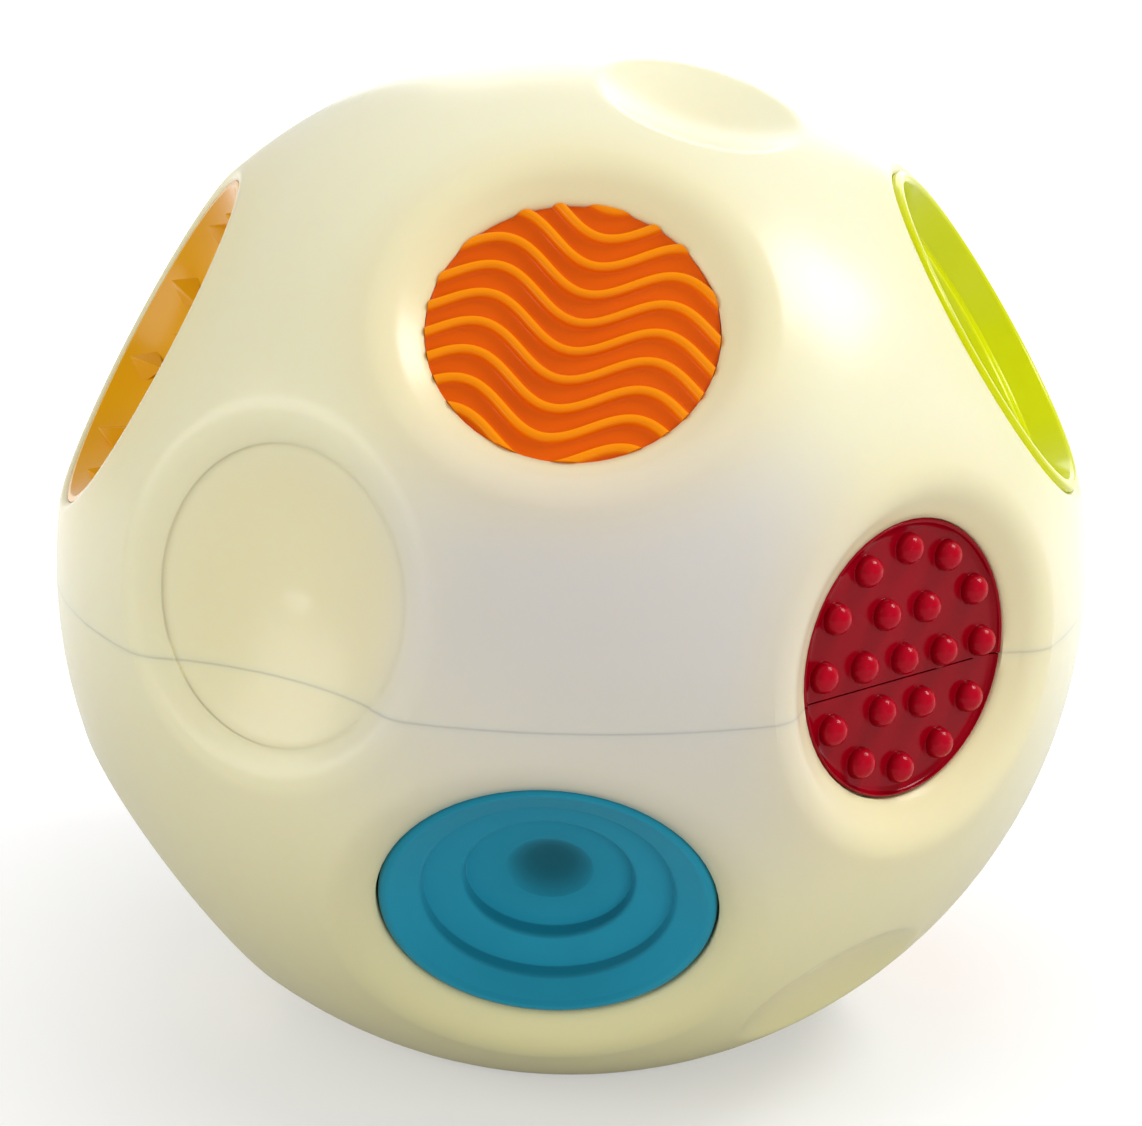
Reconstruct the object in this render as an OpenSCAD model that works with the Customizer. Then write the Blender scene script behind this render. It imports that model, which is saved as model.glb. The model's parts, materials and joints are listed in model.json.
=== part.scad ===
// Sensory ball: two milky half shells with wide dimples, textured colour inserts in the dimples,
// two press pads, and a light unit over a battery tray behind a round door in the flat base.
// Origin: centre of the flat base, on the surface that the ball stands on. +Z up, seam level.

/* [Ball] */
// Outside diameter of the ball
ball_d = 150; // [144:1:160]
// Wall of both half shells
wall = 2.4; // [2:0.1:2.8]
// Diameter of the flat that the ball stands on
base_d = 68; // [67:0.5:71]
// Rounding of the edge of the flat base
base_edge_r = 1.5; // [1:0.1:2]
// Thickness of the shell's floor round the battery door
floor_t = 5.5; // [5:0.1:6.5]

/* [Seam] */
// Height of the lower half's locating tongue above the seam
tongue_h = 3; // [2:0.1:4]
// Thickness of the tongue
tongue_t = 1.2; // [1:0.1:1.5]
// Gap between the tongue and the upper half
tongue_gap = 0.15; // [0.1:0.05:0.25]

/* [Dimples] */
// Radius of the hollow round every disc and pad, and of the edge round every wide dish
bowl_r = 41; // [38:1:46]
// Rounding of the lip of a large dimple
lip_r = 6; // [4:0.5:6.5]
// Radius of the hollow of a blank dimple
blank_bowl_r = 55; // [50:1:62]
// Radius of a blank dimple at its inner edge
blank_r = 19.8; // [19:0.1:20.4]
// Depth of a blank dimple's inner edge below the ball's surface
blank_drop = 5.7; // [5.2:0.1:6.4]
// Height of the small step at a blank dimple's inner edge
blank_step = 0.35; // [0.2:0.05:0.5]
// Radius of the hollow that shapes every small dimple
dent_bowl_r = 34.5; // [30:0.5:38]
// Radius of a small dimple at the ball's surface
dent_r = 14.3; // [12:0.1:15]
// Rounding of the lip of a small dimple
dent_lip_r = 3; // [2:0.5:4]

/* [Colour discs] */
// Radius of the wave and stud discs
disc_r = 18.9; // [18:0.1:19.4]
// Depth of a disc's edge below the ball's surface
disc_drop = 7.2; // [6.8:0.1:7.6]
// Thickness of a disc under its texture
disc_t = 2.6; // [2.2:0.1:3]
// Gap round a disc in its pocket
disc_gap = 0.1; // [0.05:0.05:0.2]
// Distance from one wave ridge to the next
wave_pitch = 4.3; // [4:0.1:4.8]
// Length of one wave
wave_length = 23; // [20:0.5:25]
// Height of a wave from trough to crest
wave_swing = 5.5; // [4:0.1:6]
// Width of a wave ridge
ridge_w = 1.2; // [1:0.1:1.6]
// Height of a wave ridge
ridge_h = 1; // [0.6:0.1:1.4]
// Diameter of a stud
stud_d = 4.4; // [4:0.1:4.8]
// Height of a stud with its dome
stud_h = 3; // [2.6:0.1:3.4]
// Distance from the outer ring of studs to the edge of its disc
ring_margin = 4.1; // [3.8:0.1:4.8]
// Gap between the two halves of a disc that the seam crosses
split_gap = 0.2; // [0.1:0.05:0.3]

/* [Wide dishes] */
// Radius of the pyramid dishes and of the ring cup
wide_r = 25.6; // [25:0.1:25.8]
// Depth of a wide dish's edge below the ball's surface
wide_drop = 5.8; // [5.6:0.1:6]
// Rounding of the shell's lip round a wide dish
wide_lip_r = 2; // [1.6:0.1:2.4]
// Radius of the hollow in a wide dish
dish_bowl_r = 33; // [32:0.5:35]
// Thickness of a wide dish
dish_t = 2.4; // [2.2:0.1:2.8]
// Width of a pyramid dish's rim
dish_rim_w = 0.9; // [0.7:0.1:1.2]
// Rise of a pyramid dish's rim above the edge of its pocket
dish_rim_h = 0.2; // [0.1:0.1:0.4]
// Side of a pyramid's base, which is sunk in its dish
pyramid_w = 5.2; // [5:0.1:5.4]
// Height of a pyramid with the part that is sunk
pyramid_h = 5; // [4.6:0.1:5.2]
// Depth that a pyramid is sunk in its dish
pyramid_sunk = 1.6; // [1.4:0.1:1.8]
// Distance from one ring of pyramids to the next
pyramid_pitch = 5.2; // [5.1:0.05:5.3]
// Rise of the ring cup's rim above the edge of its pocket
cup_rim_h = 1.3; // [1:0.1:1.4]
// Radius of the ring cup's first step
cup_step_r = 22.8; // [22.3:0.1:23.1]
// Depth of the first step below the edge of the cup's pocket
cup_first_drop = 3.4; // [3:0.1:3.6]
// Depth from each step to the next
cup_step = 1.8; // [1.6:0.1:2]
// Width of a step with its wall
cup_tread = 3.9; // [3.6:0.1:4.2]

/* [Press pads] */
// Radius of a press pad
pad_r = 22.4; // [21.6:0.1:22.6]
// Depth of a pad's edge below the ball's surface
pad_drop = 8; // [7.6:0.1:8.4]
// Thickness of a pad at its edge
pad_t = 8.6; // [8.4:0.1:9]
// Gap round a pad in its pocket
pad_gap = 0.3; // [0.2:0.05:0.4]
// Way that a pad can be pressed in
pad_travel = 1.5; // [1:0.1:1.8]
// Depth of one terrace of a pad
terrace_h = 2.7; // [2.4:0.1:2.8]
// Radius of the pit in the middle of a pad
pit_r = 5.9; // [5.5:0.1:6.2]
// Width of one terrace of a pad
terrace_w = 5.5; // [5:0.1:5.6]
// Radius of a pad's stem
stem_r = 3; // [2.6:0.1:3.4]
// Gap between the stem and its guide hole
stem_gap = 0.08; // [0.05:0.01:0.1]
// Thickness of the clip that holds a stem
clip_t = 0.8; // [0.6:0.1:1]

/* [Battery door] */
// Radius of the battery door
door_r = 30.2; // [29.8:0.1:30.6]
// Thickness of the battery door
door_t = 2.5; // [2.2:0.1:2.8]
// Depth of the door's face above the base plane
door_sink = 1; // [0.8:0.1:1.2]
// Gap round the door
door_gap = 0.4; // [0.3:0.05:0.5]
// Distance of a door screw from the middle
door_screw_y = 23; // [22.6:0.1:23.6]
// Radius of a door screw's thread
door_screw_r = 1.4; // [1.2:0.1:1.5]
// Radius of a door screw's head
door_head_r = 2.8; // [2.5:0.1:3]
// Length of a door screw under its head
door_screw_l = 7; // [6:0.1:7.5]

/* [Batteries] */
// Diameter of a battery
cell_d = 10.5; // [10.2:0.1:10.5]
// Length of a battery with its button
cell_l = 44.5; // [43.5:0.1:44.5]
// Gap between batteries
cell_gap = 0.3; // [0.2:0.1:0.4]
// Room for a contact spring
spring_room = 4; // [3.6:0.1:4.4]
// Wall of the battery tray
tray_wall = 1.6; // [1.4:0.1:1.8]
// Width of the ledge that the door lies against
ledge_w = 2.4; // [2:0.1:2.6]
// Radius of the battery tray's flange
flange_r = 36; // [35.5:0.1:36.4]

/* [Light unit] */
// Reach of the circuit board past each end of the batteries' room
board_end = 3.15; // [2.6:0.05:5]
// Reach of the circuit board past each side of the batteries' room
board_side = 3.65; // [2.8:0.05:5]
// Thickness of every circuit board
board_t = 1.6; // [1.2:0.1:1.8]
// Height of the posts under the circuit board
post_h = 4; // [3.6:0.1:5]
// Diameter of a light
led_d = 5; // [4.6:0.1:5.4]
// Height of a light with its dome
led_h = 8.6; // [8:0.1:9]
// Length of the motion sensor's can
sensor_l = 9; // [8.5:0.1:10]
// Diameter of the motion sensor's can
sensor_d = 6; // [5.8:0.1:6.4]
// Diameter of the ball that rolls in the motion sensor
sensor_ball_d = 4; // [3.8:0.1:4.2]
// Diameter of a wire bundle
wire_d = 2.4; // [2:0.1:2.6]

/* [Power switch] */
// Travel of the power switch's knob
knob_travel = 4; // [3:0.1:4.4]
// Side of the power switch's knob
knob_w = 3.6; // [3.2:0.1:4]
// Rise of the knob above the floor of its dimple
knob_rise = 1.6; // [1.2:0.1:2]
// Gap round the knob in its slot
knob_gap = 0.3; // [0.2:0.05:0.4]
// Height of the power switch's body
switch_h = 5; // [4.5:0.1:5.5]

/* [Hidden] */
$fn = 96;

// Overrun of every cut past the face that it opens
over = 0.5;
// Gap under a piece that touches its seat
seat_gap = 0.3;
// Overlap of a rounding with the two faces that it joins
bite = 0.04;
ball_r = ball_d / 2;
base_r = base_d / 2;
base_drop = sqrt(ball_r * ball_r - base_r * base_r);
floor_top = floor_t - base_drop;

// Places on the ball, as angles: [latitude above the seam, longitude from the front towards +X]
orange_front_angles = [42.3, -0.5];
red_front_angles = [2.4, 40.9];
blue_front_angles = [-26.2, -2];
yellow_left_angles = [29, -81.6];
lime_right_angles = [32.9, 80.9];
blank_front_angles = [9.5, -33.2];
blank_left_angles = [-37, -77.5];
blank_back_angles = [2, 136];
blue_back_angles = [25, 178];
red_back_angles = [4, -138];
yellow_right_angles = [-30, 100];
orange_back_angles = [-28, 180];
blanks = [blank_front_angles, blank_left_angles, blank_back_angles];
discs = [orange_front_angles, orange_back_angles, red_front_angles, red_back_angles];
dishes = [yellow_left_angles, yellow_right_angles, lime_right_angles];
pads = [blue_front_angles, blue_back_angles];
dent_top_angles = [71.8, 45];
dent_low_angles = [-41.3, 42.3];
dent_rear_top_angles = [49, 126];
dent_crown_angles = [70, -145];
dent_rear_low_angles = [-45, -128];
switch_angles = [-50, 141];
dents = [
    dent_top_angles, dent_low_angles, dent_rear_top_angles, dent_rear_low_angles, dent_crown_angles,
    switch_angles
];
seam_blanks = [blank_front_angles, blank_back_angles];
seam_discs = [red_front_angles, red_back_angles];

// Turn of each pattern about its own middle
wave_turn = -13.5;
stud_turn = -1;
pyramid_turn = 20.8;
pyramid_counts = [1, 4, 7, 10, 10];
pyramid_turns = [0, 0, 0, 18, 0];

// Distance from one ring of studs to the next
ring_pitch = (disc_r - ring_margin) / 2;

// Levels along a dimple's own axis, measured from the middle of the ball
disc_edge = ball_r - disc_drop;
disc_floor = disc_edge - disc_t;
pad_edge = ball_r - pad_drop;
pad_bottom = pad_edge - pad_t;
pad_clearance = 0.3;
pad_floor = pad_bottom - pad_travel - pad_clearance;
pad_cup_bottom = pad_floor - wall;
blank_edge = ball_r - blank_drop;
wide_edge = ball_r - wide_drop;
dish_top = wide_edge + dish_rim_h;
dent_edge = sqrt(ball_r * ball_r - dent_r * dent_r);

// Height of a dimple's hollow centre above the middle of the ball
function bowl_centre(bowl, edge_r, edge) = edge + sqrt(bowl * bowl - edge_r * edge_r);
disc_centre = bowl_centre(bowl_r, disc_r, disc_edge);
pad_centre = bowl_centre(bowl_r, pad_r, pad_edge);
blank_centre = bowl_centre(blank_bowl_r, blank_r, blank_edge);
wide_centre = bowl_centre(bowl_r, wide_r, wide_edge);
dish_centre = bowl_centre(dish_bowl_r, wide_r - dish_rim_w, dish_top);
dish_seat_r = dish_bowl_r + dish_t;
cup_slant = 0.25;
dent_centre = bowl_centre(dent_bowl_r, dent_r, dent_edge);
dent_floor = dent_centre - dent_bowl_r;

// Stem, clip and switch of a press pad
clip_gap = 0.1;
clip_r = stem_r + wall;
clip_top = pad_cup_bottom - clip_gap;
stem_tail = 0.8;
stem_end = clip_top - clip_t - stem_tail;
groove_depth = 0.6;
plunger_r = 1.7;
plunger_gap = 0.1;
plunger_h = 3;
pad_switch_w = 7;
pad_switch_h = 4.2;
pad_switch_top = stem_end - pad_travel - pad_clearance;
pad_switch_bottom = pad_switch_top - pad_switch_h;
pad_post_x = 9;
pad_post_r = 2.2;
pad_board_l = 24;
pad_board_w = 12;

// Small screws inside the ball
small_screw_r = 1;
small_head_r = 1.9;
small_head_h = 1.2;
small_screw_grip = 4;
screw_gap = 0.05;
hole_gap = 0.2;

// Battery door and tray, as heights above the middle of the ball
door_bottom = door_sink - base_drop;
door_top = door_bottom + door_t;
ledge_r = door_r + door_gap - ledge_w;
door_hole_r = door_screw_r + hole_gap;
door_head_h = 1.4;
door_boss_r = 3.6;
finger_r = 7;
finger_h = 1;
cell_lift = 0.3;
cell_bottom = door_top + cell_lift;
cell_z = cell_bottom + cell_d / 2;
cell_pitch = cell_d + cell_gap;
cell_button_r = 2.2;
cell_button_h = 1;
plate_t = 0.6;
tray_in_l = cell_l + spring_room + plate_t + 2 * cell_gap;
tray_in_w = 3 * cell_d + 4 * cell_gap;
tray_in_top = cell_bottom + cell_d + cell_gap;
tray_top = tray_in_top + tray_wall;
flange_t = 2;
flange_gap = 0.5;
tray_screw_r = (flange_r + ledge_r) / 2 + tray_wall;
tray_screw_turns = [38, 142, 218, 322];
plate_w = 7;
spring_wire = 0.7;
spring_r = 3;
spring_turns = 3;
cell_shift = (spring_room - plate_t) / 2;

// Light unit
board_l = tray_in_l + 2 * board_end;
board_w = tray_in_w + 2 * board_side;
board_bottom = tray_top + post_h;
board_top = board_bottom + board_t;
post_r = 2.6;
board_post_inset = 4;
chip_l = 9;
chip_w = 6;
chip_h = 1.6;
led_pitch = 12;
led_y = 6;
led_flange_h = 1;
led_flange_r = led_d / 2 + 0.16 * led_d;
sensor_wall = 0.5;
sensor_y = -11;
sensor_lift = sensor_d / 2 + 0.1 * sensor_d;
sensor_bore_r = sensor_d / 2 - sensor_wall;
sensor_clearance = 0.15;
chip_x = -14;
chip_y = -3;

// Power switch
switch_seat = dent_floor - wall;
switch_l = 13;
switch_w = 7;
switch_boss_r = 11.6;
switch_screw_x = 9;
switch_ear_l = 23;
switch_ear_t = 1.2;
lever_foot = 0.2;
knob_rib = 0.5;

// Places and directions
module place(p) {
    rotate([90 - p[0], 0, p[1]])
        children();
}
module lift() {
    translate([0, 0, base_drop])
        children();
}
function unit(p) = [cos(p[0]) * sin(p[1]), -cos(p[0]) * cos(p[1]), sin(p[0])];

// Everything above a hollow of radius bowl and its rounded lip, down to the level low
module hollow(bowl, centre, lip, low) {
    a = ball_r - lip + bite;
    b = bowl + lip - bite;
    fz = (a * a - b * b + centre * centre) / (2 * centre);
    fx = sqrt(a * a - fz * fz);
    outside = [fx, fz] * (ball_r + lip) / a;
    rotate_extrude()
        intersection() {
            difference() {
                union() {
                    translate([0, centre])
                        circle(r = bowl);
                    polygon([[0, centre], [fx, fz], outside]);
                }
                translate([fx, fz])
                    circle(r = lip);
            }
            translate([0, low])
                square([ball_d, ball_d]);
        }
}
module pocket(r, low, high) {
    translate([0, 0, low])
        cylinder(r = r, h = high - low);
}

// Cuts made from outside
module blank_cut() {
    hollow(blank_bowl_r, blank_centre, lip_r, 0);
    intersection() {
        translate([0, 0, blank_centre - blank_step])
            sphere(r = blank_bowl_r);
        pocket(blank_r, 0, ball_r);
    }
}
module disc_cut() {
    hollow(bowl_r, disc_centre, lip_r, disc_edge);
    pocket(disc_r + disc_gap, disc_floor, disc_edge + over);
}
module dish_cut() {
    hollow(bowl_r, wide_centre, wide_lip_r, wide_edge);
    intersection() {
        translate([0, 0, dish_centre])
            sphere(r = dish_seat_r + disc_gap);
        pocket(wide_r + disc_gap, 0, wide_edge + over);
    }
}
module pad_cut() {
    hollow(bowl_r, pad_centre, lip_r, pad_edge);
    pocket(pad_r + pad_gap, pad_floor, pad_edge + over);
    pocket(stem_r + stem_gap, pad_cup_bottom - over, pad_floor + over);
}
module dent_cut() {
    hollow(dent_bowl_r, dent_centre, dent_lip_r, 0);
}
module switch_cut() {
    slot_l = knob_w + knob_travel + 2 * knob_gap;
    slot_w = knob_w + 2 * knob_gap;
    translate([-slot_l / 2, -slot_w / 2, switch_seat - over])
        cube([slot_l, slot_w, wall + 2 * over]);
    for (side = [-1, 1])
        translate([side * switch_screw_x, 0, switch_seat - over])
            cylinder(r = small_screw_r + screw_gap, h = wall + over);
}

// Material left inside the shell behind each dimple
module backing(bowl, centre) {
    translate([0, 0, centre])
        sphere(r = bowl + wall);
}
module disc_backing(grow) {
    backing(bowl_r + grow, disc_centre);
    pocket(disc_r + disc_gap + wall + grow, disc_floor - wall - grow, ball_r);
}
module pad_backing(grow) {
    backing(bowl_r + grow, pad_centre);
    pocket(pad_r + pad_gap + wall + grow, pad_cup_bottom - grow, ball_r);
    for (side = [-1, 1])
        translate([side * pad_post_x, 0, 0])
            pocket(pad_post_r + grow, pad_switch_bottom - grow, ball_r - pad_drop);
}
module switch_backing(grow) {
    pocket(switch_boss_r + grow, switch_seat - grow, ball_r);
}
module pad_post_holes() {
    for (side = [-1, 1])
        translate([side * pad_post_x, 0, pad_switch_bottom - over])
            cylinder(r = small_screw_r + screw_gap, h = small_screw_grip + over);
}

// Material behind every dimple, grown by a gap where something stands clear of it
module backings(grow) {
    for (p = blanks)
        place(p) backing(blank_bowl_r + grow, blank_centre);
    for (p = discs)
        place(p) disc_backing(grow);
    for (p = dishes)
        place(p) backing(dish_seat_r + grow, dish_centre);
    for (p = pads)
        place(p) pad_backing(grow);
    for (p = dents)
        place(p) backing(dent_bowl_r + grow, dent_centre);
    place(switch_angles) switch_backing(grow);
}

// The same behind the dimples of the lower half that come near the base
module low_backings(grow) {
    for (p = [blank_left_angles])
        place(p) backing(blank_bowl_r + grow, blank_centre);
    place(orange_back_angles) disc_backing(grow);
    place(yellow_right_angles) backing(dish_seat_r + grow, dish_centre);
    for (p = [dent_low_angles, dent_rear_low_angles])
        place(p) backing(dent_bowl_r + grow, dent_centre);
    place(switch_angles) switch_backing(grow);
}

// The hollow inside of the ball
module cavity() {
    difference() {
        intersection() {
            sphere(r = ball_r - wall);
            translate([-ball_r, -ball_r, floor_top])
                cube([ball_d, ball_d, ball_d]);
        }
        backings(0);
    }
}

// The ball's outer form, round all over but for the flat base with its rounded edge
module outer_form() {
    fz = -base_drop + base_edge_r - bite;
    a = ball_r - base_edge_r + bite;
    fx = sqrt(a * a - fz * fz);
    below = -base_drop - base_edge_r;
    outside = [fx, fz] * (ball_r + base_edge_r) / a;
    difference() {
        intersection() {
            sphere(r = ball_r);
            translate([-ball_r, -ball_r, -base_drop])
                cube([ball_d, ball_d, ball_d]);
        }
        rotate_extrude()
            difference() {
                polygon([[fx, fz], [fx, below], [outside[0], below], outside]);
                translate([fx, fz])
                    circle(r = base_edge_r);
            }
    }
}

module skin() {
    difference() {
        outer_form();
        cavity();
        for (p = blanks)
            place(p) blank_cut();
        for (p = discs)
            place(p) disc_cut();
        for (p = dishes)
            place(p) dish_cut();
        for (p = pads)
            place(p) {
                pad_cut();
                pad_post_holes();
            }
        for (p = dents)
            place(p) dent_cut();
        place(switch_angles) switch_cut();
    }
}

// The ring on the lower half that locates the upper half
module tongue() {
    outer = sqrt(pow(ball_r - wall, 2) - tongue_h * tongue_h) - tongue_gap;
    inner = outer - tongue_t;
    root = ball_r - wall / 2;
    difference() {
        union() {
            translate([0, 0, -tongue_h])
                cylinder(r = root, h = tongue_h);
            cylinder(r = outer, h = tongue_h);
        }
        translate([0, 0, -tongue_h - over])
            cylinder(r = inner, h = 2 * tongue_h + 2 * over);
        for (p = seam_blanks)
            place(p) backing(blank_bowl_r + tongue_gap, blank_centre);
        for (p = seam_discs)
            place(p) disc_backing(tongue_gap);
    }
}

module door_opening() {
    translate([0, 0, -base_drop - over])
        cylinder(r = door_r + door_gap, h = door_top + base_drop + over);
    cylinder_top = floor_top + over;
    translate([0, 0, door_top - over])
        cylinder(r = ledge_r, h = cylinder_top - door_top + over);
}
module tray_screw_places() {
    for (turn = tray_screw_turns)
        rotate([0, 0, turn])
            translate([tray_screw_r, 0, 0])
                children();
}

module upper_shell() {
    color("ivory")
        lift()
            intersection() {
                skin();
                translate([-ball_r, -ball_r, 0])
                    cube([ball_d, ball_d, ball_d]);
            }
}
module lower_shell() {
    color("ivory")
        lift()
            difference() {
                union() {
                    intersection() {
                        skin();
                        translate([-ball_r, -ball_r, -ball_d])
                            cube([ball_d, ball_d, ball_d]);
                    }
                    tongue();
                }
                door_opening();
                tray_screw_places()
                    translate([0, 0, floor_top - small_screw_grip])
                        cylinder(r = small_screw_r + screw_gap, h = small_screw_grip + over);
            }
}

// A ridge that follows a wave, drawn across the whole disc
function wave_y(x) = -wave_swing / 2 * cos(360 * x / wave_length);
module wave_ridge() {
    steps = 36;
    xs = [for (i = [0:steps]) disc_r * (2 * i / steps - 1)];
    rise = PI * wave_swing / wave_length;
    half = [for (x = xs) ridge_w / 2 * sqrt(1 + pow(rise * sin(360 * x / wave_length), 2))];
    up = [for (i = [0:steps]) [xs[i], wave_y(xs[i]) + half[i]]];
    down = [for (i = [steps:-1:0]) [xs[i], wave_y(xs[i]) - half[i]]];
    polygon(concat(up, down));
}
module wave_disc() {
    count = ceil((disc_r + wave_swing) / wave_pitch);
    base_level = disc_edge - ridge_h / 2;
    pocket(disc_r, disc_floor, base_level);
    intersection() {
        rotate([0, 0, wave_turn])
            translate([0, 0, base_level - over])
                linear_extrude(height = ridge_h + over)
                    for (i = [-count:count])
                        translate([0, i * wave_pitch])
                            wave_ridge();
        pocket(disc_r, disc_floor, ball_r);
    }
}

// One middle place, a ring of six and a ring of twelve
module in_rings() {
    children();
    for (ring = [1:2])
        for (i = [0:6 * ring - 1])
            rotate([0, 0, i * 60 / ring])
                translate([ring * ring_pitch, 0, 0])
                    children();
}
module stud() {
    dome_r = 0.54 * stud_d;
    intersection() {
        cylinder(r = stud_d / 2, h = stud_h + 2 * over);
        translate([0, 0, stud_h + over - dome_r])
            sphere(r = dome_r);
    }
}
module stud_disc() {
    pocket(disc_r, disc_floor, disc_edge - over);
    rotate([0, 0, stud_turn])
        translate([0, 0, disc_edge - 2 * over])
            in_rings()
                stud();
}
module disc_half(p, side) {
    intersection() {
        place(p) stud_disc();
        translate([-ball_r, -ball_r, side > 0 ? split_gap / 2 : -ball_d - split_gap / 2])
            cube([ball_d, ball_d, ball_d]);
    }
}

// The outer form of a wide dish, which rests on a round seat
module dish_form(top) {
    intersection() {
        translate([0, 0, dish_centre])
            sphere(r = dish_seat_r);
        pocket(wide_r, 0, top);
    }
}
function dish_level(r) = dish_centre - sqrt(dish_bowl_r * dish_bowl_r - r * r);
module pyramid() {
    cylinder(r1 = pyramid_w / sqrt(2), r2 = 0, h = pyramid_h, $fn = 4);
}
module pyramid_disc() {
    difference() {
        dish_form(dish_top);
        translate([0, 0, dish_centre])
            sphere(r = dish_bowl_r);
    }
    intersection() {
        dish_form(ball_r);
        rotate([0, 0, pyramid_turn])
            for (ring = [0:len(pyramid_counts) - 1])
                for (i = [1:pyramid_counts[ring]]) {
                    r = ring * pyramid_pitch;
                    rotate([0, 0, i * 360 / pyramid_counts[ring] + pyramid_turns[ring]])
                        translate([r, 0, dish_level(r) - pyramid_sunk])
                            pyramid();
                }
    }
}

// A cup with four steps down to its middle
module ring_cup() {
    difference() {
        dish_form(wide_edge + cup_rim_h);
        for (i = [0:3]) {
            level = wide_edge - cup_first_drop - i * cup_step;
            step_r = cup_step_r - i * cup_tread;
            translate([0, 0, level])
                cylinder(r1 = step_r, r2 = step_r + cup_slant * (ball_r - level), h = ball_r - level);
        }
    }
}

// A soft pad whose face steps down in terraces to a round pit, with a stem behind it
module pad() {
    round_r = terrace_h / 2;
    pit_depth = pit_r / 3;
    pit_ball_r = (pit_r * pit_r + pit_depth * pit_depth) / (2 * pit_depth);
    pit_level = pad_edge - 2 * terrace_h;
    difference() {
        rotate_extrude()
            union() {
                translate([0, pad_bottom])
                    square([pad_r, pad_t - round_r]);
                translate([0, pad_bottom])
                    square([pad_r - round_r, pad_t]);
                translate([pad_r - round_r, pad_edge - round_r])
                    circle(r = round_r);
            }
        for (i = [0:1])
            pocket(pit_r + (2 - i) * terrace_w, pad_edge - (i + 1) * terrace_h, ball_r);
        translate([0, 0, pit_level + pit_ball_r - pit_depth])
            intersection() {
                sphere(r = pit_ball_r);
                pocket(pit_r, -pit_ball_r, over);
            }
    }
    difference() {
        pocket(stem_r, stem_end, pad_bottom + over);
        difference() {
            pocket(stem_r + over, clip_top - clip_t, clip_top);
            pocket(stem_r - groove_depth, stem_end, pad_bottom);
        }
    }
}
module stem_clip() {
    slot = 2 * (stem_r - groove_depth);
    difference() {
        pocket(clip_r, clip_top - clip_t, clip_top);
        pocket(stem_r - groove_depth + screw_gap, clip_top - clip_t - over, clip_top + over);
        translate([0, -slot / 2 * 0.9, clip_top - clip_t - over])
            cube([clip_r + over, slot * 0.9, clip_t + 2 * over]);
    }
}
module pad_plunger() {
    pocket(plunger_r, stem_end - plunger_h, stem_end);
}
module pad_switch() {
    difference() {
        translate([-pad_switch_w / 2, -pad_switch_w / 2, pad_switch_bottom])
            cube([pad_switch_w, pad_switch_w, pad_switch_h]);
        pocket(plunger_r + plunger_gap, pad_switch_top - plunger_h, pad_switch_top + over);
    }
}
module pad_board() {
    difference() {
        translate([-pad_board_l / 2, -pad_board_w / 2, pad_switch_bottom - board_t])
            cube([pad_board_l, pad_board_w, board_t]);
        for (side = [-1, 1])
            translate([side * pad_post_x, 0, 0])
                translate([0, 0, pad_switch_bottom - board_t - over])
                    cylinder(r = small_screw_r + hole_gap, h = board_t + 2 * over);
    }
}

// A small screw: head below the level seat, thread above it
module small_screw(grip) {
    cross = small_head_r * 1.3;
    cross_w = small_head_h / 2;
    difference() {
        translate([0, 0, -small_head_h])
            cylinder(r = small_head_r, h = small_head_h);
        for (turn = [0, 90])
            rotate([0, 0, turn])
                translate([-cross / 2, -cross_w / 2, -small_head_h - over])
                    cube([cross, cross_w, small_head_h / 2 + over]);
    }
    cylinder(r = small_screw_r, h = grip);
}
module pad_board_screws() {
    color("silver")
        lift()
            for (p = pads)
                place(p)
                    for (side = [-1, 1])
                        translate([side * pad_post_x, 0, pad_switch_bottom - board_t])
                            small_screw(board_t + small_screw_grip - over);
}

module battery_door() {
    color("ivory")
        lift()
            difference() {
                translate([0, 0, door_bottom])
                    cylinder(r = door_r, h = door_t);
                for (side = [-1, 1])
                    translate([0, side * door_screw_y, 0]) {
                        pocket(door_hole_r, door_bottom - over, door_top + over);
                        pocket(door_head_r + hole_gap, door_bottom - over, door_bottom + door_head_h);
                    }
                translate([door_r * 0.72, 0, door_bottom + finger_h - finger_r * 1.4])
                    sphere(r = finger_r * 1.4);
            }
}
module door_screw() {
    cross = door_head_r * 1.3;
    cross_w = door_head_h / 2;
    level = door_bottom + door_head_h;
    difference() {
        pocket(door_head_r, door_bottom, level);
        for (turn = [0, 90])
            rotate([0, 0, turn])
                translate([-cross / 2, -cross_w / 2, door_bottom - over])
                    cube([cross, cross_w, door_head_h / 2 + over]);
    }
    pocket(door_screw_r, level - over, level + door_screw_l);
}

module battery_tray() {
    out_l = tray_in_l + 2 * tray_wall;
    out_w = tray_in_w + 2 * tray_wall;
    boss_top = door_bottom + door_head_h + door_screw_l + tray_wall;
    color("whitesmoke")
        lift()
            difference() {
                union() {
                    intersection() {
                        pocket(flange_r, floor_top, floor_top + flange_t);
                        sphere(r = ball_r - wall - flange_gap);
                    }
                    translate([-out_l / 2, -out_w / 2, floor_top])
                        cube([out_l, out_w, tray_top - floor_top]);
                    for (side = [-1, 1])
                        translate([0, side * door_screw_y, 0])
                            pocket(door_boss_r, door_top, boss_top);
                    board_posts(post_r, tray_top - over, board_bottom);
                }
                translate([-tray_in_l / 2, -tray_in_w / 2, floor_top - over])
                    cube([tray_in_l, tray_in_w, tray_in_top - floor_top + over]);
                for (side = [-1, 1])
                    translate([0, side * door_screw_y, 0])
                        pocket(door_screw_r + screw_gap, door_top - over, boss_top - tray_wall / 2);
                tray_screw_places()
                    pocket(small_screw_r + hole_gap, floor_top - over, floor_top + flange_t + over);
                board_posts(
                    small_screw_r + screw_gap, board_bottom - small_screw_grip, board_bottom + over
                );
                low_backings(flange_gap);
            }
}
module board_posts(r, low, high) {
    for (x = [-1, 1])
        for (y = [-1, 1])
            translate([x * tray_in_l / 2, y * tray_in_w / 2, 0] - [x, y, 0] * board_post_inset / 2)
                pocket(r, low, high);
}
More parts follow.
